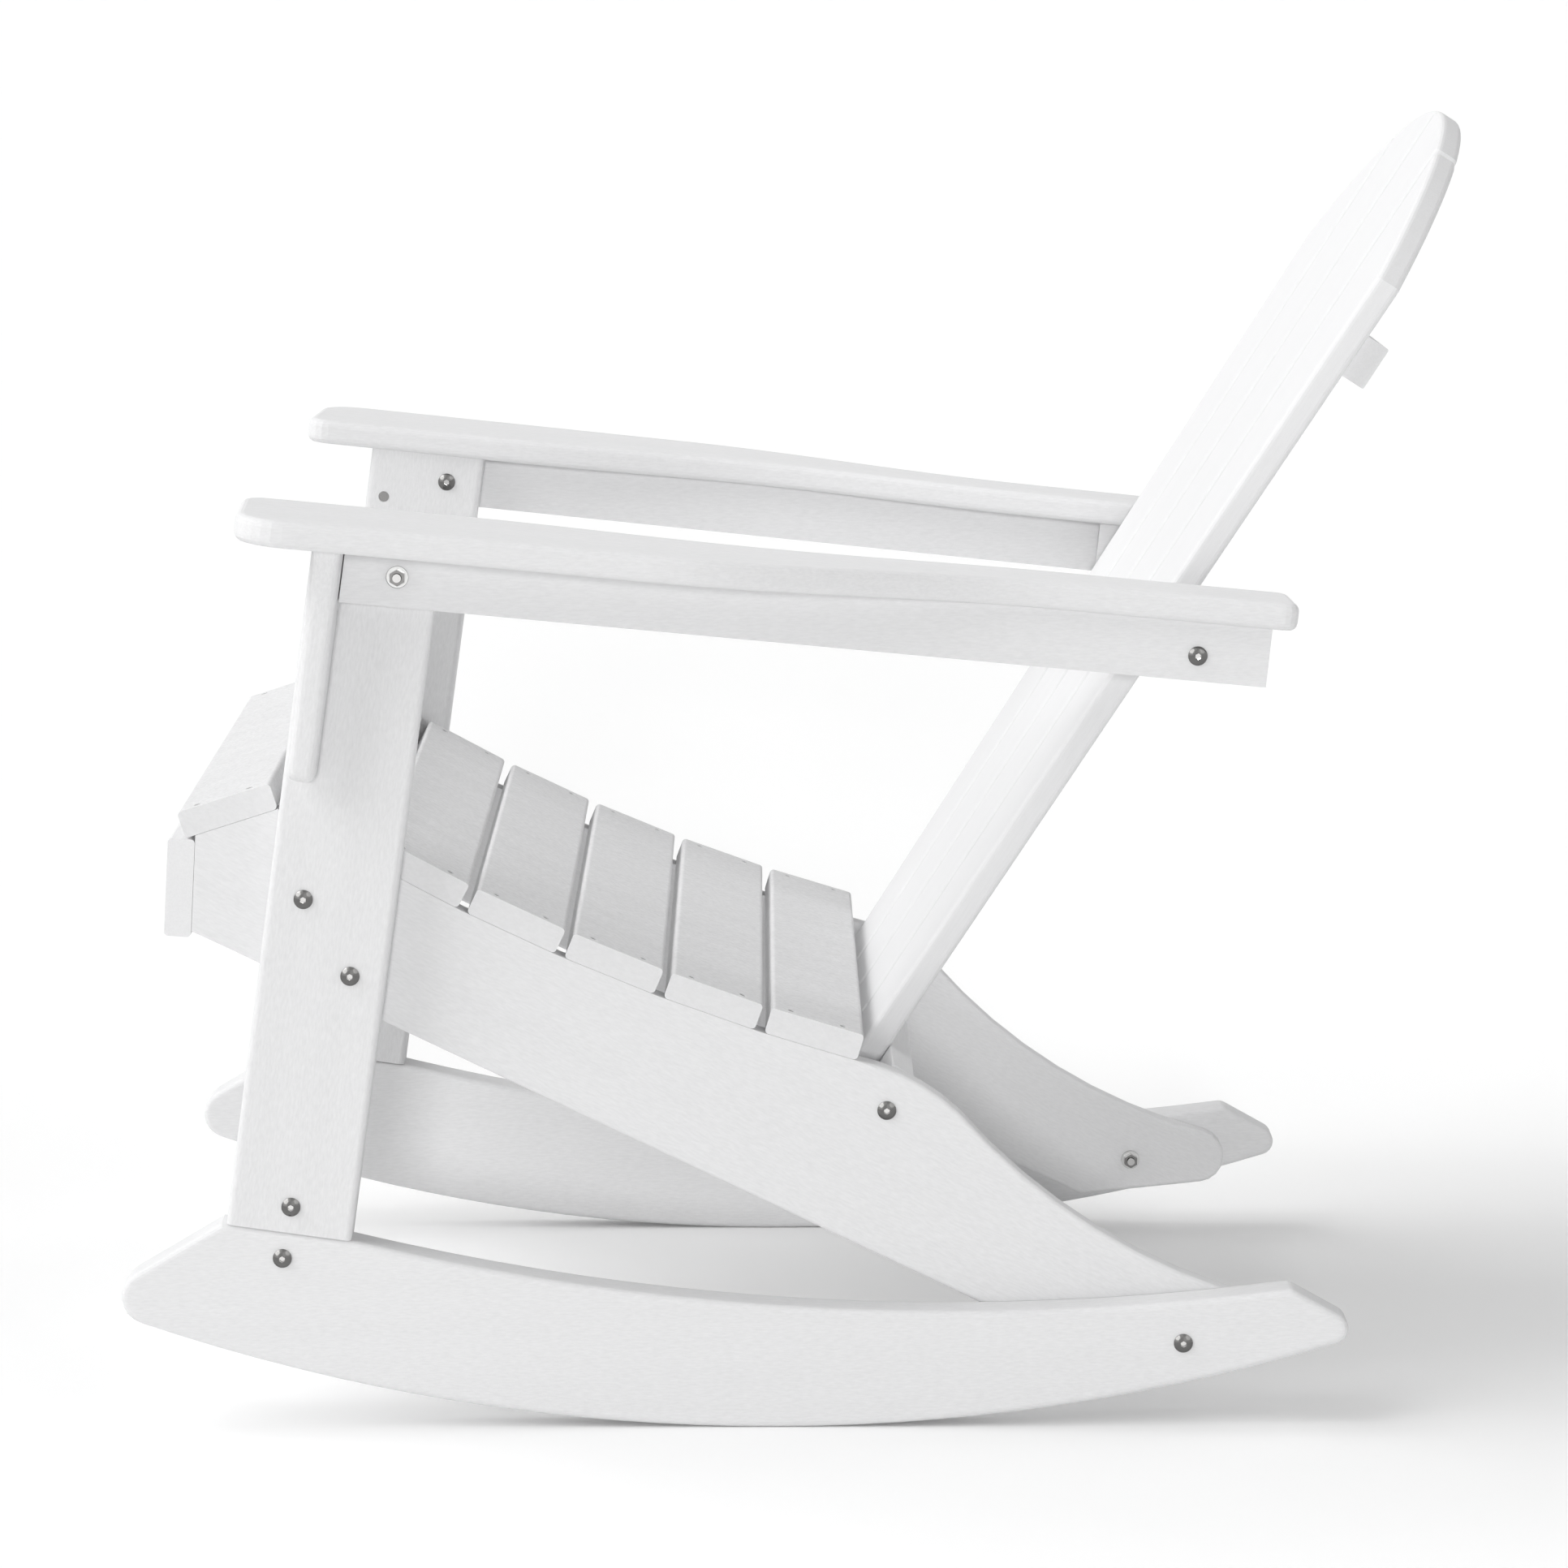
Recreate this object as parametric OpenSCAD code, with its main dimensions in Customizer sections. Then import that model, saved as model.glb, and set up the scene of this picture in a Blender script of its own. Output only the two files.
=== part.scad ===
// Rocking adirondack chair in poly lumber, bolted together from separate boards.
// Axes: X across the chair with the sitter's left at +X, Y from front to back, Z up from the floor.
// Outlines of side pieces are lists of [y, z] points, measured from the spot where the rockers touch.

/* [Rockers] */
// Radius of the curved sole
rocker_r = 1350; // [1100:10:1700]
// Reach of the rocker in front of the spot where it touches the floor
rocker_front = 462; // [430:1:520]
// Reach of the rocker behind the spot where it touches the floor
rocker_rear = 409; // [385:1:460]
// Radius of the front nose
nose_front_r = 20; // [12:1:26]
// Radius of the rear nose
nose_rear_r = 11; // [8:1:16]
// Slope of the rocker's tail above the rear nose, in degrees
tail_slope = 29.3; // [22:0.1:36]
// Place from front to back of the lowest point of the hollow top edge
waist_y = 130; // [80:1:180]
// Height of the lowest point of the hollow top edge
waist_z = 85; // [70:1:100]
// Thickness of the stock of rockers and legs
leg_t = 31; // [28:0.5:38]
// Radius of the eased edges on rockers and legs
leg_round = 4.5; // [3:0.5:7]

/* [Legs] */
// Width of a leg
leg_w = 89; // [80:1:100]
// Backward lean of the legs, in degrees
leg_lean = 8; // [4:0.1:12]
// Place from front to back of the front corner of the leg's seat on the rocker
leg_seat_y = -390; // [-410:0.5:-370]
// Height of the front corner of the leg's seat on the rocker
leg_seat_z = 150; // [140:0.5:160]
// Step from that corner to the leg's front edge
leg_setback = 3.5; // [1:0.5:12]

/* [Seat] */
// Width of the seat over the outer faces of its stringers
seat_w = 532; // [460:1:600]
// Thickness of the boards
board_t = 19; // [16:0.5:22]
// Width of a seat slat
slat_w = 68.5; // [55:0.5:75]
// Gap between seat slats
slat_gap = 6.4; // [4:0.2:10]
// Number of slats on the curved part of the seat
curved_slats = 6; // [5:1:6]
// Radius of the dished seat
seat_r = 1532; // [1300:2:1900]
// Place from front to back of the middle of the rear slat's top
rear_slat_y = 32.3; // [20:0.1:45]
// Height of the middle of the rear slat's top
rear_slat_z = 289; // [270:1:310]
// Slope of the rear slat, in degrees
rear_slat_slope = 17; // [14:0.1:20]
// Rise towards the rear of the front edge slat, in degrees
front_slat_slope = 17.8; // [12:0.1:24]
// Radius of the eased edges on slats and apron
slat_round = 3; // [2:0.5:5]

/* [Apron] */
// Height of the apron board
apron_h = 70; // [55:1:85]
// Place from front to back of the apron's rear face at its top
apron_y = -406.8; // [-412:0.2:-400]
// Backward lean of the apron, in degrees
apron_lean = 3.4; // [0:0.1:6]

/* [Stringers] */
// Height of the stringer's lower front corner
stringer_front_z = 354.5; // [345:0.5:370]
// Slope of the stringer's bottom edge, in degrees
stringer_slope = 25.9; // [24.5:0.1:27]
// Place from front to back of the shoulder below the back
shoulder_y = 133; // [115:1:140]
// Height of that shoulder
shoulder_z = 222; // [212:1:236]
// Radius of the rounded shoulder
shoulder_r = 149; // [90:1:200]
// Radius of the hollow sweep down to the tail
sweep_r = 440; // [400:5:700]
// Place from front to back of the centre of the tail
tail_y = 346; // [330:1:360]
// Height of the centre of the tail
tail_z = 64; // [58:1:70]
// Radius of the tail
tail_r = 21; // [16:1:26]
// Rise of the edge under the tail, in degrees
tail_rise = 6.8; // [2:0.1:12]

/* [Back] */
// Backward lean of the back, in degrees
back_lean = 32.74; // [28:0.02:37]
// Place where the back's front face would meet the floor
back_y = -100.6; // [-112:0.2:-96]
// Height of the top of the back, measured along the slats from the floor
back_len = 1093; // [1000:1:1150]
// Where the slats' feet end, measured along the slats from the floor
back_foot = 259.5; // [250:0.5:270]
// Number of back slats
back_slats = 4; // [4:2:6]
// Spacing of the back slats at their feet
back_pitch_low = 94.1; // [80:0.1:100]
// Spacing of the back slats at the top
back_pitch_high = 122.7; // [100:0.1:130]
// Gap between back slats
back_gap = 6; // [3:0.5:10]
// Radius of the arched top
arch_r = 280; // [262:1:340]
// Radius of the eased edges on the back slats
back_round = 4.5; // [2:0.5:6]
// Height of the lower back rail, measured along the slats
low_rail_h = 55; // [45:1:60]
// Thickness of the middle back rail
mid_rail_t = 28; // [24:1:30]
// Height of the middle back rail, measured along the slats
mid_rail_h = 36; // [28:1:37]
// Middle of the upper brace, measured along the slats from the floor
brace_u = 912; // [860:1:930]
// Height of the upper brace, measured along the slats
brace_h = 33; // [25:1:45]
// Length of the upper brace
brace_len = 432; // [380:1:440]

/* [Arms] */
// Place of the armrest's front end
arm_front_y = -369.5; // [-385:0.5:-355]
// Height of the armrest's underside at its front end
arm_front_z = 645; // [620:1:670]
// Fall of the armrests towards the rear, in degrees
arm_slope = 5.7; // [3:0.1:8]
// Turn of the arm rails and armrests towards the back, in degrees
arm_toe = 2.4; // [1.5:0.1:3]
// Length of an armrest
arm_len = 737; // [720:1:770]
// Radius of the eased edges on the armrests
arm_round = 5.5; // [3:0.5:8]
// Overhang of the armrest inside the arm rail's inner face, at the front
arm_in = 37; // [25:0.5:40]
// Overhang of the armrest inside the arm rail's inner face, at the rear
arm_in_rear = 36; // [25:0.5:40]
// Depth of the hollow in the armrest's inner edge
arm_hollow = 20; // [0:1:24]
// Reach of the armrest outside the arm rail's inner face, at the front
arm_out_front = 88; // [70:1:105]
// Reach of the armrest outside the arm rail's inner face, at the rear
arm_out_rear = 31; // [24:1:50]
// Height of the arm rail
rail_h = 42; // [36:1:50]
// Length of the arm rail
rail_len = 644; // [638:1:660]
// Length of an arm bracket below the armrest
bracket_len = 170; // [120:1:190]
// Width of an arm bracket at its top
bracket_w = 62; // [48:1:80]

/* [Fasteners] */
// Shank diameter of the bolts
bolt_d = 6; // [5:0.5:7]
// Head diameter of the bolts
head_d = 13.5; // [11:0.5:15]
// Head height of the bolts
head_h = 4; // [3:0.5:5]
// Diameter of the washers
washer_d = 15; // [13:0.5:18]
// Width across the flats of the nuts
nut_af = 10; // [9:0.5:11]
// Shank diameter of the screws
screw_d = 4; // [3.5:0.1:4.5]
// Length of the screws that hold the boards
screw_len = 36; // [34:1:40]

/* [Hidden] */
$fn = 48;

lumber = [0.93, 0.93, 0.92];
steel = [0.62, 0.62, 0.63];

// Clearance of a shank in its hole, all round
hole_play = 0.3;
// Clearance of a tenon in its mortise, all round
tenon_play = 0.3;
// Air left where two boards meet at an angle
seam = 0.3;
// Gap between an arm bracket and the front end of its arm rail
rail_gap = 0.8;
// Overrun of a cut past the faces that it leaves
over = 2;
// Length that is longer than any board, for trimming planes
far = 1500;

// Bolt places on the leg: up from its foot, then back from its front edge
stringer_bolt_a = [239.8, 25];
stringer_bolt_b = [189.9, 64.2];
foot_bolt = [19, 43.8];
rocker_bolt = [-18.9, 42.4];
// Loose tenon inside the joint of leg and rocker
tenon_t = 11;
tenon_w = 46;
tenon_up = 38;
tenon_down = 36;
// Rear bolt through rocker and stringer
rear_bolt = [291.3, 62.1];
// Bolts of the two rails, inwards from the rail's front face
low_bolt_in = 12.3;
low_rail_bolt_depth = 62;
mid_rail_bolt_depth = 62;
// Bolts of the arm rail: along the rail from its front end, then down from the armrest
rail_bolt_front = [37, 21];
rail_bolt_rear = [594, 24.2];
// Barrel nuts sit this far in from the end of their rail
barrel_in = 34;
barrel_d = 10;
barrel_len = 18;
// Shape of heads, nuts and washers
head_round = 9;
socket_af = 4;
socket_deep = 2.4;
nut_h = 5;
washer_t = 1.5;
thread_out = 2;
spot_deep = 1.6;
// Screws: head, place on a slat and lengths
screw_head_d = 8;
screw_head_h = 3.4;
screw_sink = 0.6;
trim_d = 3.2;
trim_head_d = 4.6;
trim_head_h = 1.8;
screw_in = 9.5;
slat_screw_share = [-0.29, 0.27];
apron_screw_share = [-0.27, -0.73];
brace_screw_len = 32;
mid_screw_len = 42;
arm_screw_len = 38;
arm_screw_bore = 18;
arm_screw_at = [150, 330, 510];
bracket_screw_len = 55;
bracket_screw_drop = [38.1, 118];

// Outline of the armrest: corners and where its curves begin and end along its length
arm_corner_out = 34;
arm_corner_in = 18;
arm_corner_rear = 10;
arm_out_curve = [290, 572];
arm_in_curve = [150, 575];
// Outline of the bracket
bracket_foot_w = 28;
bracket_knee_w = 41;
bracket_top_h = 46;
bracket_setback = 4.5;
bracket_round = 5.5;
bracket_foot_r = 9;
bracket_knee_r = 80;
// Corner radii on outlines
tail_corner_r = 9;
heel_r = 14;
// Segments on curves and on eased edges
arc_n = 8;
shoulder_n = 5;
sole_n = 30;
ease_n = 4;
// Part of the easing that is left on an edge that another board covers
crisp_share = 0.1;

function lerp(a, b, t) = a + (b - a) * t;
function unit(v) = v / norm(v);
function dir(a) = [cos(a), sin(a)];
function arc(c, r, a0, a1, n) = [for (i = [0:n]) c + r * dir(lerp(a0, a1, i / n))];
function angle(v) = atan2(v.y, v.x);
// Where the line through p along d meets the line through q along e
function meet(p, d, q, e) = p + d * ((q.x - p.x) * e.y - (q.y - p.y) * e.x) / (d.x * e.y - d.y * e.x);
// Where the line from p along the unit vector d first enters a circle
function enter(p, d, c, r) = let (m = p - c, b = m * d) p + d * (-b - sqrt(b * b - m * m + r * r));
// Centre of a circle of radius r at the distances r and s from two points, on the left of the way from p to q
function beside(p, r, q, s) = let (w = q - p, l = norm(w), a = (r * r - s * s + l * l) / (2 * l))
    p + a * w / l + sqrt(r * r - a * a) * [-w.y, w.x] / l;
// A corner at b between a and c, eased by the radius r
function corner(a, b, c, r, n) =
    let (u = unit(a - b), v = unit(c - b), h = acos(u * v) / 2, k = b + unit(u + v) * r / sin(h),
        p = b + u * r / tan(h), q = b + v * r / tan(h), a0 = angle(p - k), d = angle(q - k) - a0,
        e = d > 180 ? d - 360 : d < -180 ? d + 360 : d)
    arc(k, r, a0, a0 + e, n);
// Outline moved inwards by the distance d, for a list of points that runs counterclockwise.
// Each point moves by its own share of d
function inset(pts, d, shares) = let (n = len(pts)) [for (i = [0:n - 1])
    let (e = unit(pts[i] - pts[(i + n - 1) % n]), f = unit(pts[(i + 1) % n] - pts[i]),
        a = [-e.y, e.x], b = [-f.y, f.x])
    pts[i] + d * shares[i] * (a + b) / (1 + a * b)];
function ones(pts) = [for (p = pts) 1];

// A board with the given outline, t thick, with its edges eased on both faces.
// Its first and last rings lie just outside the faces, which the slab then cuts flat
module board(pts, t, r, shares = undef) {
    held = is_undef(shares) ? ones(pts) : shares;
    n = len(pts);
    ease = [for (k = [0:ease_n]) r * [1 - sin(90 * k / ease_n), 1 - cos(90 * k / ease_n)]];
    half = concat([2 * ease[0] - ease[1]], [for (k = [1:ease_n]) ease[k]]);
    levels = concat(half, [for (k = [ease_n:-1:0]) [half[k].x, t - half[k].y]]);
    m = len(levels);
    rings = [for (l = levels) for (p = inset(pts, l.x, held)) [p.x, p.y, l.y]];
    intersection() {
        polyhedron(rings, [
            [for (i = [0:n - 1]) i],
            [for (i = [n - 1:-1:0]) (m - 1) * n + i],
            for (k = [0:m - 2]) for (i = [0:n - 1]) let (j = (i + 1) % n) each [
                [k * n + i, (k + 1) * n + i, (k + 1) * n + j],
                [k * n + i, (k + 1) * n + j, k * n + j]]
        ], convexity = 6);
        translate([-far, -far, 0]) cube([2 * far, 2 * far, t]);
    }
}

// The same board standing in the plane of Y and Z, from x outwards
module side_board(pts, x, t, r, shares = undef) {
    translate([x, 0, 0]) rotate([90, 0, 90]) board(pts, t, r, shares);
}

// Section of a sawn board with eased edges, centred
module section(w, h, r) {
    square([w - 2 * r, h], center = true);
    square([w, h - 2 * r], center = true);
    for (x = [-1, 1], y = [-1, 1])
        translate([x * (w / 2 - r), y * (h / 2 - r)]) circle(r);
}

// A straight board across the chair: length, then front to back, then height
module cross_board(len, w, h, r) {
    translate([-len / 2, 0, 0]) rotate([90, 0, 90]) linear_extrude(len) section(w, h, r);
}

module both() {
    children();
    mirror([1, 0, 0]) children();
}

// Outer faces of the pieces on the sitter's left
stringer_x = seat_w / 2;
leg_x = stringer_x + leg_t;

// Rocker outline
sole_c = [0, rocker_r];
nose_f = [nose_front_r - rocker_front,
    rocker_r - sqrt(pow(rocker_r - nose_front_r, 2) - pow(rocker_front - nose_front_r, 2))];
nose_r = [rocker_rear - nose_rear_r,
    rocker_r - sqrt(pow(rocker_r - nose_rear_r, 2) - pow(rocker_rear - nose_rear_r, 2))];
across = [cos(leg_lean), -sin(leg_lean)];
along = [sin(leg_lean), cos(leg_lean)];
seat_front = [leg_seat_y, leg_seat_z];
seat_back = seat_front + across * (leg_setback + leg_w);
waist_d = waist_y - seat_back.x;
waist_h = seat_back.y - waist_z;
waist_r = (waist_d * waist_d + waist_h * waist_h) / (2 * waist_h);
waist_c = [waist_y, waist_z + waist_r];
tail_top = nose_r + nose_rear_r * dir(90 - tail_slope);
tail_corner = enter(tail_top, [-cos(tail_slope), sin(tail_slope)], waist_c, waist_r);
nose_reach = seat_front - nose_f;
nose_tangent = angle(nose_reach) + acos(nose_front_r / norm(nose_reach));
waist_arc = arc(waist_c, waist_r, angle(tail_corner - waist_c), angle(seat_back - waist_c), 20);

rocker_outline = concat(
    arc(sole_c, rocker_r, angle(nose_f - sole_c), angle(nose_r - sole_c), sole_n),
    [for (i = [1:arc_n]) nose_r + nose_rear_r * dir(lerp(angle(nose_r - sole_c), 90 - tail_slope, i / arc_n))],
    corner(tail_top, tail_corner, waist_arc[1], tail_corner_r, 3),
    [for (i = [1:len(waist_arc) - 1]) waist_arc[i]],
    [seat_front],
    [for (i = [0:arc_n - 1]) nose_f + nose_front_r * dir(lerp(nose_tangent, angle(nose_f - sole_c) + 360, i / arc_n))]
);

// Leg: its frame has the foot's front edge as origin
function on_leg(u, v) = seat_front + across * (leg_setback + v) + along * u;
module leg_frame() {
    translate([0, on_leg(0, 0).x, on_leg(0, 0).y]) rotate([-leg_lean, 0, 0]) children();
}

// The arm rail starts behind the bracket, and its front end is cut along the leg
arm_dir = [cos(arm_slope), -sin(arm_slope)];
arm_up = [sin(arm_slope), cos(arm_slope)];
rail_v = bracket_setback + board_t + rail_gap;
rail_start = norm(meet(on_leg(0, rail_v), along, [arm_front_y, arm_front_z], arm_dir) - [arm_front_y, arm_front_z]);

// Arm frame: the origin is where the arm rail's inner face meets the armrest, at the rail's front end
module arm_frame() {
    translate([0, arm_front_y, arm_front_z]) rotate([-arm_slope, 0, 0])
        translate([leg_x, rail_start, 0]) rotate([0, 0, arm_toe]) children();
}

// Seat frames
slat_step = 2 * asin((slat_w + slat_gap) / 2 / seat_r);
seat_c = [rear_slat_y + seat_r * sin(rear_slat_slope), rear_slat_z + seat_r * cos(rear_slat_slope)];
function slat_angle(k) = rear_slat_slope + k * slat_step;
function slat_mid(k) = seat_c - seat_r * [sin(slat_angle(k)), cos(slat_angle(k))];
// A point on a curved slat: back from its middle, then up from its top
function on_slat(k, s, n) = let (a = slat_angle(k))
    slat_mid(k) + s * [cos(a), -sin(a)] + n * [sin(a), cos(a)];
module slat_frame(k) {
    translate([0, slat_mid(k).x, slat_mid(k).y]) rotate([-slat_angle(k), 0, 0]) children();
}
// The front edge slat starts at the lower front corner of the first curved slat
peak = on_slat(curved_slats - 1, -slat_w / 2, -board_t);
front_dir = [cos(front_slat_slope), sin(front_slat_slope)];
module front_slat_frame() {
    translate([0, peak.x, peak.y]) rotate([front_slat_slope, 0, 0]) translate([0, -slat_w / 2, board_t]) children();
}
apron_top = [apron_y, (peak - slat_w * front_dir).y - board_t * tan(apron_lean)];
apron_down = -[sin(apron_lean), cos(apron_lean)];
module apron_frame() {
    translate([0, apron_top.x, apron_top.y]) rotate([-apron_lean, 0, 0]) children();
}

// Stringer outline
tail_c = [tail_y, tail_z];
shoulder = [shoulder_y, shoulder_z];
slat_end = on_slat(0, slat_w / 2, -board_t);
bottom_dir = [cos(stringer_slope), -sin(stringer_slope)];
front_low = meet([apron_y, stringer_front_z], [1, 0], apron_top, apron_down);
front_high = meet(peak, front_dir, apron_top, apron_down);
heel = meet(front_low, bottom_dir, tail_c + tail_r * dir(tail_rise - 90), dir(tail_rise));
sweep_c = beside(shoulder, sweep_r, tail_c, tail_r + sweep_r);
chord = norm(shoulder - slat_end);
shoulder_c = (shoulder + slat_end) / 2 + sqrt(shoulder_r * shoulder_r - chord * chord / 4)
    * [slat_end.y - shoulder.y, shoulder.x - slat_end.x] * -1 / chord;

// Its edges are eased from behind the leg round to the shoulder, and crisp where it carries slats and apron
eased_run = concat(
    [meet(front_low, bottom_dir, on_leg(0, leg_w / 2), along)],
    corner(front_low, heel, tail_c, heel_r, 4),
    arc(tail_c, tail_r, tail_rise - 90, angle(sweep_c - tail_c), arc_n),
    [for (i = [1:arc_n]) sweep_c + sweep_r * dir(lerp(angle(tail_c - sweep_c), angle(shoulder - sweep_c), i / arc_n))],
    [for (i = [1:shoulder_n - 1]) shoulder_c
        + shoulder_r * dir(lerp(angle(shoulder - shoulder_c), angle(slat_end - shoulder_c), i / shoulder_n))]
);
crisp_run = concat(
    [slat_end],
    [for (k = [0:curved_slats - 2]) let (a = slat_angle(k) + slat_step / 2)
        seat_c - (seat_r + board_t) / cos(slat_step / 2) * [sin(a), cos(a)]],
    [peak, front_high, front_low]
);
stringer_outline = concat(eased_run, crisp_run);
stringer_shares = concat(ones(eased_run), crisp_share * ones(crisp_run));

// Back frame: Z runs up along the slats and Y backwards from their front face
module back_frame() {
    translate([0, back_y, 0]) rotate([-back_lean, 0, 0]) children();
}
function back_at(u, w) = [back_y, 0] + u * [sin(back_lean), cos(back_lean)] + w * [cos(back_lean), -sin(back_lean)];
function on_back(p) = let (q = p - [back_y, 0])
    [q.x * sin(back_lean) + q.y * cos(back_lean), q.x * cos(back_lean) - q.y * sin(back_lean)];
low_rail_u = back_foot + low_rail_h / 2;
mid_bolt = [arm_front_y, arm_front_z] + arm_dir * (rail_start + rail_bolt_rear.x * cos(arm_toe)) - arm_up * rail_bolt_rear.y;
mid_rail_u = on_back(mid_bolt).x;
low_bolt = back_at(low_rail_u, board_t + low_bolt_in);

// Spacing of the back slats at the height u
function pitch(u) = lerp(back_pitch_low, back_pitch_high, (u - back_foot) / (back_len - back_foot));
arch_c = [0, back_len - arch_r];
// Outline of the slat between the spacing lines i and i + 1, in X and height
function back_outline(i) =
    let (n = back_slats / 2, g = back_gap / 2,
        l0 = [i * pitch(back_foot) + g, back_foot], l1 = [i * pitch(back_len) + g, back_len],
        r0 = [(i + 1) * pitch(back_foot) - g, back_foot], r1 = [(i + 1) * pitch(back_len) - g, back_len],
        dl = unit(l0 - l1), dr = unit(r0 - r1),
        pl = enter(l1 - dl * arch_r, dl, arch_c, arch_r), pr = enter(r1 - dr * arch_r, dr, arch_c, arch_r))
    concat([l0, r0], arc(arch_c, arch_r, angle(pr - arch_c), angle(pl - arch_c), 9));

// Armrest outline in the arm frame, counterclockwise, with its length along Y
function arm_outer(t) = lerp(arm_out_front, arm_out_rear, (1 - cos(180 * t)) / 2);
function arm_inner(t) = arm_hollow * (1 - cos(360 * t)) / 2 - lerp(arm_in, arm_in_rear, t);
a_front = -rail_start;
a_rear = arm_len - rail_start;
arm_outline = concat(
    corner([-arm_in, 0], [-arm_in, a_front], [0, a_front], arm_corner_in, 5),
    corner([0, a_front], [arm_out_front, a_front], [arm_out_front, 0], arm_corner_out, 7),
    [for (i = [0:12]) [arm_outer(i / 12), a_front + lerp(arm_out_curve[0], arm_out_curve[1], i / 12)]],
    corner([arm_out_rear, 0], [arm_out_rear, a_rear], [0, a_rear], arm_corner_rear, 4),
    corner([0, a_rear], [-arm_in_rear, a_rear], [-arm_in_rear, 0], arm_corner_rear, 4),
    [for (i = [12:-1:0]) [arm_inner(i / 12), a_front + lerp(arm_in_curve[0], arm_in_curve[1], i / 12)]]
);

// Bracket outline: out from the leg, then up along it, with the armrest's underside at the top
bracket_v = bracket_setback + board_t / 2;
function leg_top(v) = let (p = on_leg(0, v))
    norm(meet(p, along, [arm_front_y, arm_front_z], arm_dir) - p);
bracket_top = leg_top(bracket_setback + board_t);
bracket_foot = [bracket_foot_w, bracket_top - bracket_len];
bracket_knee = [bracket_knee_w, bracket_top - bracket_top_h];
bracket_tip = [bracket_w, bracket_top];
bracket_end = [0, bracket_top + board_t];
bracket_outline = concat(
    [[0, bracket_foot.y]],
    corner([0, bracket_foot.y], bracket_foot, bracket_knee, bracket_foot_r, 5),
    corner(bracket_foot, bracket_knee, bracket_tip, bracket_knee_r, 6),
    [meet(bracket_knee, bracket_tip - bracket_knee, bracket_end, [1, 0]), bracket_end]
);

// Shank, head and head height of the screws that hold the boards, and of the slim ones in slats and apron
board_screw = [screw_d, screw_head_d, screw_head_h];
trim_screw = [trim_d, trim_head_d, trim_head_h];

// Bolts, nuts, washers and screws: all point along +Z, with the underside of the head at zero
module bolt(len) {
    difference() {
        union() {
            rotate([180, 0, 0]) rotate_extrude() intersection() {
                translate([0, head_h - head_round]) circle(head_round);
                square([head_d / 2, head_h]);
            }
            cylinder(d = bolt_d, h = len);
        }
        translate([0, 0, -head_h - over]) cylinder(d = socket_af / cos(30), h = socket_deep + over, $fn = 6);
    }
}
module washer() {
    difference() {
        cylinder(d = washer_d, h = washer_t);
        translate([0, 0, -over]) cylinder(d = bolt_d + 2 * hole_play, h = washer_t + 2 * over);
    }
}
module nut() {
    difference() {
        cylinder(d = nut_af / cos(30), h = nut_h, $fn = 6);
        translate([0, 0, -over]) cylinder(d = bolt_d + 2 * hole_play, h = nut_h + 2 * over);
    }
}
module barrel() {
    difference() {
        translate([0, -barrel_len / 2, 0]) rotate([-90, 0, 0]) cylinder(d = barrel_d, h = barrel_len);
        translate([0, 0, -barrel_d]) cylinder(d = bolt_d + 2 * hole_play, h = 2 * barrel_d);
    }
}
module screw(len, size = board_screw) {
    cylinder(d = size[0], h = len);
    cylinder(d1 = size[1], d2 = size[0], h = size[2]);
}
// Room for a screw: shank hole, head seat and the sink above the head
module screw_hole(len, sink, size = board_screw) {
    cylinder(d = size[0] + 2 * hole_play, h = len + over);
    cylinder(d1 = size[1] + 2 * hole_play, d2 = size[0] + 2 * hole_play, h = size[2]);
    translate([0, 0, -sink - over]) cylinder(d = size[1] + 2 * hole_play, h = sink + over);
}
module shank_hole(len) {
    translate([0, 0, -over]) cylinder(d = bolt_d + 2 * hole_play, h = len + 2 * over);
}

// Places of the fasteners on the sitter's left; each child points inwards, or outwards where it says so
module point_in(x, p) {
    translate([x, p.x, p.y]) rotate([0, -90, 0]) children();
}
module at_stringer_bolts() {
    for (b = [stringer_bolt_a, stringer_bolt_b]) point_in(leg_x, on_leg(b[0], b[1])) children();
}
module at_tenon_bolts() {
    for (b = [foot_bolt, rocker_bolt]) point_in(leg_x, on_leg(b[0], b[1])) children();
}
module at_rear_bolt() {
    point_in(leg_x, rear_bolt) children();
}
module at_low_bolt() {
    point_in(stringer_x, low_bolt) children();
}
module at_mid_bolt() {
    arm_frame() translate([board_t, rail_bolt_rear.x, -rail_bolt_rear.y]) rotate([0, -90, 0]) children();
}
// The front bolt of the arm rail points outwards from the leg's inner face
arm_bolt = [arm_front_y, arm_front_z] + arm_dir * (rail_start + rail_bolt_front.x) - arm_up * rail_bolt_front.y;
arm_bolt_len = leg_t + board_t - rail_bolt_front.x * sin(arm_toe) - spot_deep;
module at_arm_bolt() {
    translate([stringer_x, arm_bolt.x, arm_bolt.y]) rotate([0, 90, 0]) children();
}
module at_slat_screws() {
    for (s = slat_screw_share) translate([stringer_x - screw_in, s * slat_w, -screw_sink]) rotate([180, 0, 0]) children();
}
module at_seat_screws() {
    for (k = [0:curved_slats - 1]) slat_frame(k) at_slat_screws() children();
    front_slat_frame() at_slat_screws() children();
}
module at_apron_screws() {
    apron_frame() for (s = apron_screw_share)
        translate([stringer_x - screw_in, screw_sink - board_t, s * apron_h]) rotate([-90, 0, 0]) children();
}
module at_bracket_screws() {
    for (d = bracket_screw_drop) {
        p = on_leg(bracket_top - d, bracket_v);
        translate([stringer_x + screw_sink, p.x, p.y]) rotate([0, 90, 0]) children();
    }
}
module at_arm_screws() {
    arm_frame() for (y = arm_screw_at)
        translate([board_t / 2, y, arm_screw_bore - rail_h]) children();
}
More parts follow.
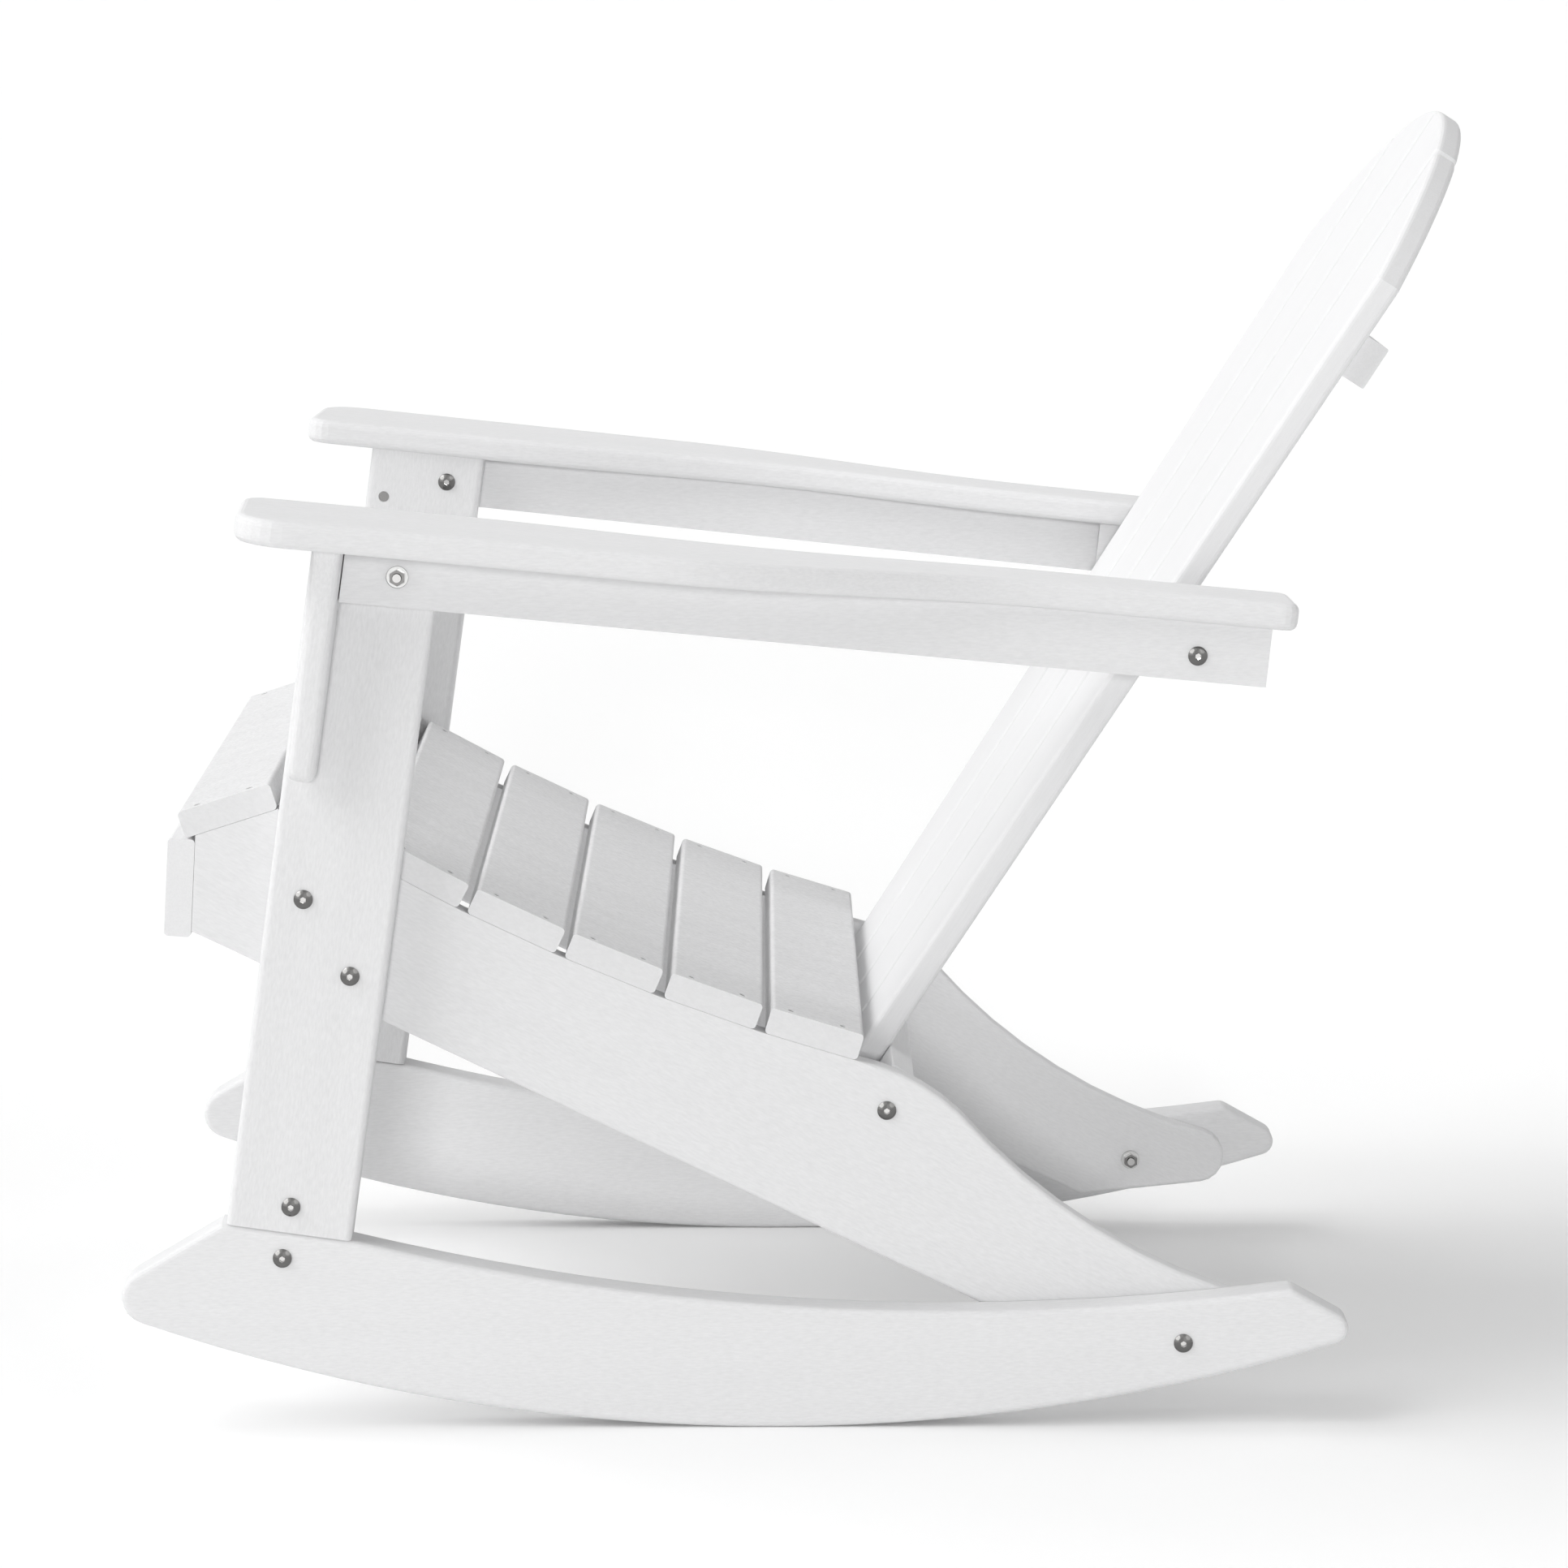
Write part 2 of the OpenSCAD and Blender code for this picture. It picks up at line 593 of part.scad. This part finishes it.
// Screws from behind into each back slat
back_screw_share = [0.25, 0.75];
module at_back_screws(u, depth) {
    back_frame() for (i = [-back_slats / 2:back_slats / 2 - 1], s = back_screw_share)
        translate([(i + s) * pitch(u), board_t + depth - screw_sink, u]) rotate([90, 0, 0]) children();
}

module tenon(play) {
    leg_frame() translate([stringer_x + leg_t / 2 - tenon_t / 2 - play, foot_bolt[1] - tenon_w / 2 - play, -tenon_down - play])
        cube([tenon_t + 2 * play, tenon_w + 2 * play, tenon_up + tenon_down + 2 * play]);
}

// Wood-look pieces
module rocker() {
    color(lumber) difference() {
        side_board(rocker_outline, stringer_x, leg_t, leg_round);
        at_tenon_bolts() shank_hole(leg_t);
        at_rear_bolt() shank_hole(leg_t);
        tenon(tenon_play);
    }
}
module leg() {
    color(lumber) difference() {
        intersection() {
            leg_frame() translate([stringer_x + leg_t / 2, leg_w / 2, 0]) linear_extrude(far) section(leg_t, leg_w, leg_round);
            translate([0, arm_front_y, arm_front_z]) rotate([-arm_slope, 0, 0])
                translate([0, -far, -far]) cube([far, 2 * far, far]);
        }
        at_stringer_bolts() shank_hole(leg_t);
        at_tenon_bolts() shank_hole(leg_t);
        at_arm_bolt() shank_hole(leg_t);
        at_bracket_screws() screw_hole(bracket_screw_len, screw_sink);
        tenon(tenon_play);
        arm_frame() translate([-seam, -over, -rail_h - seam]) cube([leg_t, rail_len, rail_h + over]);
    }
}
module leg_tenon() {
    color(lumber) difference() {
        tenon(0);
        at_tenon_bolts() shank_hole(leg_t);
    }
}
module stringer() {
    color(lumber) difference() {
        side_board(stringer_outline, stringer_x - board_t, board_t, slat_round, stringer_shares);
        at_stringer_bolts() shank_hole(leg_t + board_t);
        at_rear_bolt() shank_hole(leg_t + board_t);
        at_low_bolt() shank_hole(board_t);
        at_seat_screws() screw_hole(screw_len, screw_sink, trim_screw);
        at_apron_screws() screw_hole(screw_len, screw_sink, trim_screw);
    }
}
module apron() {
    color(lumber) difference() {
        apron_frame() translate([0, -board_t / 2, -apron_h / 2]) cross_board(seat_w, board_t, apron_h, slat_round);
        both() at_apron_screws() screw_hole(screw_len, screw_sink, trim_screw);
    }
}
module slat() {
    difference() {
        translate([0, 0, -board_t / 2]) cross_board(seat_w, slat_w, board_t, slat_round);
        both() at_slat_screws() screw_hole(screw_len, screw_sink, trim_screw);
    }
}
// Slats are numbered from the front edge backwards
module seat_slat(i) {
    color(lumber) if (i == 1) front_slat_frame() slat();
    else slat_frame(curved_slats + 1 - i) slat();
}
module back_slat(i) {
    color(lumber) difference() {
        back_frame() translate([0, board_t, 0]) rotate([90, 0, 0])
            board(back_outline(i - 1 - back_slats / 2), board_t, back_round);
        at_back_screws(low_rail_u, board_t) screw_hole(brace_screw_len, screw_sink);
        at_back_screws(mid_rail_u, mid_rail_t) screw_hole(mid_screw_len, screw_sink);
        at_back_screws(brace_u, board_t) screw_hole(brace_screw_len, screw_sink);
    }
}
module lower_back_rail() {
    color(lumber) difference() {
        back_frame() translate([0, board_t * 3 / 2, low_rail_u]) cross_board(seat_w - 2 * board_t, board_t, low_rail_h, slat_round / 2);
        both() at_low_bolt() {
            shank_hole(low_rail_bolt_depth);
            translate([0, 0, board_t + barrel_in]) rotate([0, 0, -back_lean]) barrel_hole();
        }
        at_back_screws(low_rail_u, board_t) screw_hole(brace_screw_len, screw_sink);
    }
}
module barrel_hole() {
    translate([0, -board_t, 0]) rotate([-90, 0, 0]) cylinder(d = barrel_d + 2 * hole_play, h = 2 * board_t);
}
module middle_back_rail() {
    color(lumber) difference() {
        back_frame() translate([0, board_t + mid_rail_t / 2, mid_rail_u]) cross_board(seat_w, mid_rail_t, mid_rail_h, slat_round / 2);
        both() arm_frame() translate([-board_t, 0, -far / 2]) cube([far, far, far]);
        both() at_mid_bolt() {
            shank_hole(mid_rail_bolt_depth);
            translate([0, 0, 2 * board_t + barrel_in]) barrel_hole();
        }
        at_back_screws(mid_rail_u, mid_rail_t) screw_hole(mid_screw_len, screw_sink);
    }
}
module upper_brace() {
    color(lumber) difference() {
        back_frame() translate([0, board_t * 3 / 2, brace_u]) cross_board(brace_len, board_t, brace_h, slat_round / 2);
        at_back_screws(brace_u, board_t) screw_hole(brace_screw_len, screw_sink);
    }
}
module arm_rail() {
    color(lumber) difference() {
        arm_frame() translate([0, -rail_start, -rail_h]) cube([board_t, rail_start + rail_len, rail_h]);
        leg_frame() translate([0, rail_v - far, -far]) cube([far, far, 2 * far]);
        at_arm_bolt() {
            shank_hole(leg_t + 2 * board_t);
            translate([0, 0, arm_bolt_len]) cylinder(d = washer_d + 2 * hole_play, h = 2 * board_t);
        }
        at_mid_bolt() shank_hole(board_t);
        at_arm_screws() {
            screw_hole(arm_screw_len, arm_screw_bore);
        }
    }
}
module rail_block() {
    color(lumber) difference() {
        arm_frame() translate([-board_t, rail_bolt_rear.x - slat_w / 2, -rail_h]) cube([board_t, slat_w, rail_h]);
        at_mid_bolt() shank_hole(2 * board_t);
    }
}
module armrest() {
    color(lumber) difference() {
        arm_frame() board(arm_outline, board_t, arm_round);
        at_arm_screws() screw_hole(arm_screw_len, arm_screw_bore);
    }
}
module arm_bracket() {
    color(lumber) difference() {
        leg_frame() translate([leg_x, bracket_setback + board_t, 0]) rotate([90, 0, 0])
            board(bracket_outline, board_t, bracket_round);
        translate([0, arm_front_y, arm_front_z]) rotate([-arm_slope, 0, 0])
            translate([0, -far, 0]) cube([far, 2 * far, far]);
        at_bracket_screws() screw_hole(bracket_screw_len, screw_sink);
    }
}

// Fasteners
module stringer_bolts() {
    color(steel) both() at_stringer_bolts() bolt(leg_t + board_t + washer_t + nut_h + thread_out);
}
module tenon_bolts() {
    color(steel) both() at_tenon_bolts() bolt(leg_t + washer_t + nut_h + thread_out);
}
module rocker_rear_bolts() {
    color(steel) both() at_rear_bolt() bolt(leg_t + board_t + washer_t + nut_h + thread_out);
}
module arm_front_bolts() {
    color(steel) both() at_arm_bolt() bolt(arm_bolt_len + washer_t + nut_h + thread_out);
}
module middle_rail_bolts() {
    color(steel) both() at_mid_bolt() bolt(mid_rail_bolt_depth);
}
module lower_rail_bolts() {
    color(steel) both() at_low_bolt() bolt(low_rail_bolt_depth);
}
module at_nuts() {
    at_stringer_bolts() translate([0, 0, leg_t + board_t]) children();
    at_tenon_bolts() translate([0, 0, leg_t]) children();
    at_rear_bolt() translate([0, 0, leg_t + board_t]) children();
    at_arm_bolt() translate([0, 0, arm_bolt_len]) children();
}
module hex_nuts() {
    color(steel) both() at_nuts() translate([0, 0, washer_t]) nut();
}
module washers() {
    color(steel) both() at_nuts() washer();
}
module barrel_nuts() {
    color(steel) both() {
        at_low_bolt() translate([0, 0, board_t + barrel_in]) rotate([0, 0, -back_lean]) barrel();
        at_mid_bolt() translate([0, 0, 2 * board_t + barrel_in]) barrel();
    }
}
module seat_screws() {
    color(steel) both() at_seat_screws() screw(screw_len, trim_screw);
}
module apron_screws() {
    color(steel) both() at_apron_screws() screw(screw_len, trim_screw);
}
module back_screws() {
    color(steel) {
        at_back_screws(low_rail_u, board_t) screw(brace_screw_len);
        at_back_screws(mid_rail_u, mid_rail_t) screw(mid_screw_len);
        at_back_screws(brace_u, board_t) screw(brace_screw_len);
    }
}
module bracket_screws() {
    color(steel) both() at_bracket_screws() screw(bracket_screw_len);
}
module arm_screws() {
    color(steel) both() at_arm_screws() screw(arm_screw_len);
}

module right() {
    mirror([1, 0, 0]) children();
}

// The origin lies on the floor, midway between the rocker's front and the rearmost point of the back
back_reach = back_at(back_len - back_round, board_t - back_round).x + back_round;
mid_y = (back_reach - rocker_front) / 2;

translate([0, -mid_y, 0]) {
    rocker();  // rocker_left
    right() rocker();  // rocker_right
    leg();  // leg_left
    right() leg();  // leg_right
    leg_tenon();  // leg_tenon_left
    right() leg_tenon();  // leg_tenon_right
    stringer();  // stringer_left
    right() stringer();  // stringer_right
    apron();
    seat_slat(1);  // seat_slat_1
    seat_slat(2);  // seat_slat_2
    seat_slat(3);  // seat_slat_3
    seat_slat(4);  // seat_slat_4
    seat_slat(5);  // seat_slat_5
    seat_slat(6);  // seat_slat_6
    seat_slat(7);  // seat_slat_7
    back_slat(1);  // back_slat_1
    back_slat(2);  // back_slat_2
    back_slat(3);  // back_slat_3
    back_slat(4);  // back_slat_4
    lower_back_rail();
    middle_back_rail();
    upper_brace();
    arm_rail();  // arm_rail_left
    right() arm_rail();  // arm_rail_right
    rail_block();  // rail_block_left
    right() rail_block();  // rail_block_right
    armrest();  // armrest_left
    right() armrest();  // armrest_right
    arm_bracket();  // arm_bracket_left
    right() arm_bracket();  // arm_bracket_right
    stringer_bolts();
    tenon_bolts();
    rocker_rear_bolts();
    arm_front_bolts();
    middle_rail_bolts();
    lower_rail_bolts();
    hex_nuts();
    washers();
    barrel_nuts();
    seat_screws();
    apron_screws();
    back_screws();
    bracket_screws();
    arm_screws();
}
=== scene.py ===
import bpy
import math
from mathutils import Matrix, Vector

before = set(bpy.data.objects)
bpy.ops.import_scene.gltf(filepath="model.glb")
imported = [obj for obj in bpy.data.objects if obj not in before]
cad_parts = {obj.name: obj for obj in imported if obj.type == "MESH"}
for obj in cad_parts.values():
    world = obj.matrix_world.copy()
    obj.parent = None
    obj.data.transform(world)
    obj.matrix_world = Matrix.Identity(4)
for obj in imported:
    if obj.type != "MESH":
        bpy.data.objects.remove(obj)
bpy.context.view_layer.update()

rad = math.radians
scene = bpy.context.scene

# Camera, solved from the photograph, in metres and degrees
IMAGE_WIDTH = 1932.0
FOCAL_PIXELS = 6500.0
SENSOR_WIDTH = 36.0
CAD_SHIFT_Y = -0.0213937
CAMERA_AT = (3.9204, -0.00786 + CAD_SHIFT_Y, 1.08835)
CAMERA_PITCH = 9.759
CAMERA_YAW = 0.247
CLIP_NEAR, CLIP_FAR = 0.1, 200.0

# Lumber: colours, and what all boards share
WHITE = (0.81, 0.81, 0.815)
SLAT_WHITE = (0.84, 0.84, 0.845)
LUMBER_SPECULAR = 0.04
LUMBER_IOR = 1.5
LUMBER_ROUGHNESS = (0.5, 0.64)
FINE_RANGE = (0.3, 0.7)
GRAIN_RANGE = (0.1, 0.9)
ROUGHNESS_RANGE = (0.2, 0.8)
END_RANGE = (0.5, 1.0)
EVEN = (1, 1, 1)
BROAD_SCALE = (3, 45, 45)
BROAD_SHARE = 0.35
PORE_SIZE = 900.0
PORE_HEIGHT = 0.5
BUMP_DISTANCE = 0.0003

# The turn that lays each kind of board's length along X, in degrees
ALONG_Y = (0, 0, 90)
LEG_TURN = (8, 90, 0)
STRINGER_TURN = (26, 0, 90)
SLAT_TURN = (25, 0, 90)
BACK_TURN = (32.74, 90, 0)
ALONG_X = (0, 0, 0)

# Steel
STEEL_NOISE = 1800.0
STEEL_RANGE = (0.3, 0.7)
# Over this range of the normal's X, faces turn to the brighter colour of the painted reflection
PAINTED_REFLECTION_RANGE = (0.96, 0.998)

# Floor and world
FLOOR_HALF = 80.0
FLOOR_TONE = (0.95, 0.95, 0.95, 1)
FLOOR_GLOW = 0.08
WORLD_FILL = 0.01
WORLD_SEEN = 1.0
PLAIN_WHITE = (1, 1, 1, 1)

# A large soft light over the front and both sides: elevation, azimuth from +X, strength
SOFT_ANGLE = 40
SOFT_LAMPS = [
    (14, -60, 0.17), (36, -180, 0.25), (36, -120, 0.60), (36, -90, 0.25),
    (36, -60, 1.05), (36, 30, 0.13), (36, 60, 0.39), (36, 120, 0.39),
    (58, -135, 0.16), (58, -90, 0.95), (58, -45, 0.13),
]

# A weak lamp beside the camera, for the far rocker and stringer
BESIDE_CAMERA = 0.9
BESIDE_CAMERA_ANGLE = 6

# A Mix node's sockets A and B, by data type
FLOAT_A, FLOAT_B = 2, 3
COLOUR_A, COLOUR_B, COLOUR_OUT = 6, 7, 2


def add(nt, node_type, **values):
    node = nt.nodes.new(node_type)
    for key, value in values.items():
        setattr(node, key, value)
    return node


def new_material(name):
    material = bpy.data.materials.new(name)
    material.use_nodes = True
    nt = material.node_tree
    nt.nodes.clear()
    return material, nt, add(nt, "ShaderNodeOutputMaterial")


def turned(nt, coords, rotation):
    mapping = add(nt, "ShaderNodeMapping")
    mapping.inputs["Rotation"].default_value = rotation
    nt.links.new(coords, mapping.inputs["Vector"])
    return mapping.outputs["Vector"]


def noise(nt, coords, scale, size, detail, rough):
    mapping = add(nt, "ShaderNodeMapping")
    mapping.inputs["Scale"].default_value = scale
    nt.links.new(coords, mapping.inputs["Vector"])
    texture = add(nt, "ShaderNodeTexNoise")
    texture.inputs["Scale"].default_value = size
    texture.inputs["Detail"].default_value = detail
    texture.inputs["Roughness"].default_value = rough
    nt.links.new(mapping.outputs["Vector"], texture.inputs["Vector"])
    return texture.outputs["Fac"]


def ramp(nt, value, from_range, to_range):
    node = add(nt, "ShaderNodeMapRange")
    node.inputs["From Min"].default_value = from_range[0]
    node.inputs["From Max"].default_value = from_range[1]
    node.inputs["To Min"].default_value = to_range[0]
    node.inputs["To Max"].default_value = to_range[1]
    nt.links.new(value, node.inputs["Value"])
    return node.outputs["Result"]


# value times share, plus base
def multiply_add(nt, value, share, base):
    node = add(nt, "ShaderNodeMath", operation="MULTIPLY_ADD")
    nt.links.new(value, node.inputs[0])
    node.inputs[1].default_value = share
    nt.links.new(base, node.inputs[2])
    return node.outputs[0]


# 1 on faces square to X, 0 on those along it
def square_to_x(nt):
    geometry = add(nt, "ShaderNodeNewGeometry")
    split = add(nt, "ShaderNodeSeparateXYZ")
    nt.links.new(geometry.outputs["True Normal"], split.inputs[0])
    size = add(nt, "ShaderNodeMath", operation="ABSOLUTE")
    nt.links.new(split.outputs["X"], size.inputs[0])
    return size.outputs[0]


# On faces square to X, only the share end_grain of the grain's contrast is left
def calm_ends(nt, shade, middle, end_grain):
    mix = add(nt, "ShaderNodeMix", data_type="FLOAT")
    share = ramp(nt, square_to_x(nt), END_RANGE, (1.0, end_grain))
    nt.links.new(share, mix.inputs["Factor"])
    mix.inputs[FLOAT_A].default_value = middle
    nt.links.new(shade, mix.inputs[FLOAT_B])
    return mix.outputs[0]


# Poly lumber: after the turn, the brushed grain runs along X. streak is how much the grain
# darkens the tone, length and width are the grain's scales along and across the board
def lumber(name, turn, tone, streak, grain_bump, length=40, width=700, end_grain=1):
    material, nt, out = new_material(name)
    texture = add(nt, "ShaderNodeTexCoord")
    coords = turned(nt, texture.outputs["Object"], [rad(angle) for angle in turn])
    fine = noise(nt, coords, (length, width, width), size=1.0, detail=4.0, rough=0.6)
    broad = noise(nt, coords, BROAD_SCALE, size=1.0, detail=3.0, rough=0.5)
    pore = noise(nt, coords, EVEN, size=PORE_SIZE, detail=2.0, rough=0.6)

    fine_part = ramp(nt, fine, FINE_RANGE, (0.0, 1 - BROAD_SHARE))
    grain = multiply_add(nt, broad, BROAD_SHARE, fine_part)
    shade = ramp(nt, grain, GRAIN_RANGE, (1.0 - streak, 1.0))
    if end_grain < 1:
        shade = calm_ends(nt, shade, 1.0 - streak / 2, end_grain)
    colour = add(nt, "ShaderNodeMix", data_type="RGBA", blend_type="MULTIPLY")
    colour.inputs["Factor"].default_value = 1.0
    colour.inputs[COLOUR_A].default_value = (*tone, 1.0)
    nt.links.new(shade, colour.inputs[COLOUR_B])

    bsdf = add(nt, "ShaderNodeBsdfPrincipled")
    bsdf.inputs["Specular IOR Level"].default_value = LUMBER_SPECULAR
    bsdf.inputs["IOR"].default_value = LUMBER_IOR
    nt.links.new(colour.outputs[COLOUR_OUT], bsdf.inputs["Base Color"])
    roughness = ramp(nt, fine, ROUGHNESS_RANGE, LUMBER_ROUGHNESS)
    nt.links.new(roughness, bsdf.inputs["Roughness"])

    bump = add(nt, "ShaderNodeBump")
    bump.inputs["Strength"].default_value = grain_bump
    bump.inputs["Distance"].default_value = BUMP_DISTANCE
    nt.links.new(multiply_add(nt, pore, PORE_HEIGHT, fine), bump.inputs["Height"])
    nt.links.new(bump.outputs["Normal"], bsdf.inputs["Normal"])
    nt.links.new(bsdf.outputs["BSDF"], out.inputs["Surface"])
    return material


# Steel: faces square to the bolts' axes get a brighter colour than domes and rims, a painted
# reflection; the dark tone of domes and rims is painted shade, standing in for dark surroundings in
# their reflection
def steel(name, tone, painted_reflection, roughness):
    material, nt, out = new_material(name)
    texture = add(nt, "ShaderNodeTexCoord")
    fine = noise(nt, texture.outputs["Object"], EVEN, size=STEEL_NOISE, detail=3.0, rough=0.6)
    colour = add(nt, "ShaderNodeMix", data_type="RGBA")
    # Painted reflection: faces square to X take the brighter colour, the rest keep the darker tone,
    # which is painted shade
    share = ramp(nt, square_to_x(nt), PAINTED_REFLECTION_RANGE, (0.0, 1.0))
    nt.links.new(share, colour.inputs["Factor"])
    colour.inputs[COLOUR_A].default_value = (*tone, 1.0)
    colour.inputs[COLOUR_B].default_value = (*painted_reflection, 1.0)

    bsdf = add(nt, "ShaderNodeBsdfPrincipled")
    bsdf.inputs["Metallic"].default_value = 1.0
    nt.links.new(colour.outputs[COLOUR_OUT], bsdf.inputs["Base Color"])
    nt.links.new(ramp(nt, fine, STEEL_RANGE, roughness), bsdf.inputs["Roughness"])
    nt.links.new(bsdf.outputs["BSDF"], out.inputs["Surface"])
    return material


mats = {
    "rocker": lumber("lumber_rocker", ALONG_Y, WHITE, 0.09, 0.35, 140, 700),
    "leg": lumber("lumber_leg", LEG_TURN, WHITE, 0.1, 0.35, 150, 620),
    "stringer": lumber("lumber_stringer", STRINGER_TURN, WHITE, 0.085, 0.35, 150, 640),
    # The seat slats' stronger streak is their grain; its darkening also leaves them a little darker
    # on average than the other boards, which is painted shade
    "slat": lumber("lumber_slat", SLAT_TURN, SLAT_WHITE, 0.2, 0.5, 240, 430, 0.3),
    "back": lumber("lumber_back", BACK_TURN, WHITE, 0.04, 0.35),
    "arm": lumber("lumber_arm", ALONG_Y, WHITE, 0.085, 0.35, 140, 700),
    "cross": lumber("lumber_cross", ALONG_X, WHITE, 0.06, 0.4),
    # Each steel: a dark tone that is painted shade, a brighter colour that is a painted reflection
    # on faces square to X, and roughness
    "washer": steel("washer_steel", (0.3, 0.3, 0.295), (0.52, 0.52, 0.515), (0.3, 0.42)),
    "dark": steel("dark_steel", (0.16, 0.158, 0.155), (0.3, 0.295, 0.29), (0.14, 0.24)),
    "bolt": steel("stainless_steel", (0.17, 0.168, 0.165), (0.8, 0.79, 0.78), (0.12, 0.2)),
}

# The first row whose words a node's name starts with gives its material
STARTS = [
    ("rocker", ("rocker_left", "rocker_right")),
    ("leg", ("leg_", "arm_bracket")),
    ("stringer", ("stringer_left", "stringer_right")),
    ("slat", ("seat_slat",)),
    ("back", ("back_slat",)),
    ("arm", ("armrest", "arm_rail", "rail_block")),
    ("cross", ("apron", "lower_back_rail", "middle_back_rail", "upper_brace")),
    ("washer", ("washers",)),
]


def material_of(name):
    if name.endswith("_bolts"):
        return mats["bolt"]
    if name.endswith("_screws"):
        return mats["dark"]
    for key, starts in STARTS:
        if name.startswith(starts):
            return mats[key]
    return mats["dark"]


for name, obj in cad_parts.items():
    obj.data.materials.clear()
    obj.data.materials.append(material_of(name))


# Camera
camera_data = bpy.data.cameras.new("camera")
camera_data.sensor_width = SENSOR_WIDTH
camera_data.lens = SENSOR_WIDTH * FOCAL_PIXELS / IMAGE_WIDTH
camera_data.clip_start = CLIP_NEAR
camera_data.clip_end = CLIP_FAR
camera = bpy.data.objects.new("camera", camera_data)
scene.collection.objects.link(camera)
camera.location = CAMERA_AT
pitch, yaw = rad(CAMERA_PITCH), rad(CAMERA_YAW)
forward = Vector((
    -math.cos(pitch) * math.cos(yaw),
    math.cos(pitch) * math.sin(yaw),
    -math.sin(pitch),
))
camera.rotation_mode = "QUATERNION"
camera.rotation_quaternion = forward.to_track_quat("-Z", "Y")
scene.camera = camera


# Floor: diffuse, with a faint glow that only the camera sees
floor_mesh = bpy.data.meshes.new("floor")
corners = [(-1, -1), (1, -1), (1, 1), (-1, 1)]
floor_mesh.from_pydata([(FLOOR_HALF * x, FLOOR_HALF * y, 0) for x, y in corners], [], [(0, 1, 2, 3)])
floor = bpy.data.objects.new("floor", floor_mesh)
scene.collection.objects.link(floor)
floor_material, nt, out = new_material("floor")
diffuse = add(nt, "ShaderNodeBsdfDiffuse")
diffuse.inputs["Color"].default_value = FLOOR_TONE
glow = add(nt, "ShaderNodeEmission")
glow.inputs["Color"].default_value = PLAIN_WHITE
glow.inputs["Strength"].default_value = FLOOR_GLOW
both = add(nt, "ShaderNodeAddShader")
nt.links.new(diffuse.outputs[0], both.inputs[0])
nt.links.new(glow.outputs[0], both.inputs[1])
path = add(nt, "ShaderNodeLightPath")
gate = add(nt, "ShaderNodeMixShader")
nt.links.new(path.outputs["Is Camera Ray"], gate.inputs["Fac"])
nt.links.new(diffuse.outputs[0], gate.inputs[1])
nt.links.new(both.outputs[0], gate.inputs[2])
nt.links.new(gate.outputs[0], out.inputs["Surface"])
floor_mesh.materials.append(floor_material)


# World: nearly dark as a light, white to the camera, in reflections and through glass
world = bpy.data.worlds.new("world")
scene.world = world
world.use_nodes = True
nt = world.node_tree
nt.nodes.clear()
shades = []
for strength in (WORLD_FILL, WORLD_SEEN):
    shade = add(nt, "ShaderNodeBackground")
    shade.inputs["Color"].default_value = PLAIN_WHITE
    shade.inputs["Strength"].default_value = strength
    shades.append(shade.outputs[0])
path = add(nt, "ShaderNodeLightPath")
seen = path.outputs["Is Camera Ray"]
for ray in ("Is Glossy Ray", "Is Transmission Ray"):
    either = add(nt, "ShaderNodeMath", operation="MAXIMUM")
    nt.links.new(seen, either.inputs[0])
    nt.links.new(path.outputs[ray], either.inputs[1])
    seen = either.outputs[0]
gate = add(nt, "ShaderNodeMixShader")
nt.links.new(seen, gate.inputs["Fac"])
nt.links.new(shades[0], gate.inputs[1])
nt.links.new(shades[1], gate.inputs[2])
nt.links.new(gate.outputs[0], add(nt, "ShaderNodeOutputWorld").inputs["Surface"])


# Lamps
def sun(name, source, power, angle):
    data = bpy.data.lights.new(name, "SUN")
    data.energy = power
    data.angle = rad(angle)
    lamp = bpy.data.objects.new(name, data)
    scene.collection.objects.link(lamp)
    lamp.rotation_mode = "QUATERNION"
    lamp.rotation_quaternion = (-source).to_track_quat("-Z", "Y")


for i, (elevation, azimuth, power) in enumerate(SOFT_LAMPS):
    up, around = rad(elevation), rad(azimuth)
    flat = math.cos(up)
    source = Vector((flat * math.cos(around), flat * math.sin(around), math.sin(up)))
    sun(f"soft_{i}", source, power, SOFT_ANGLE)
sun("beside_camera", -forward, BESIDE_CAMERA, BESIDE_CAMERA_ANGLE)

scene.view_settings.view_transform = "Standard"
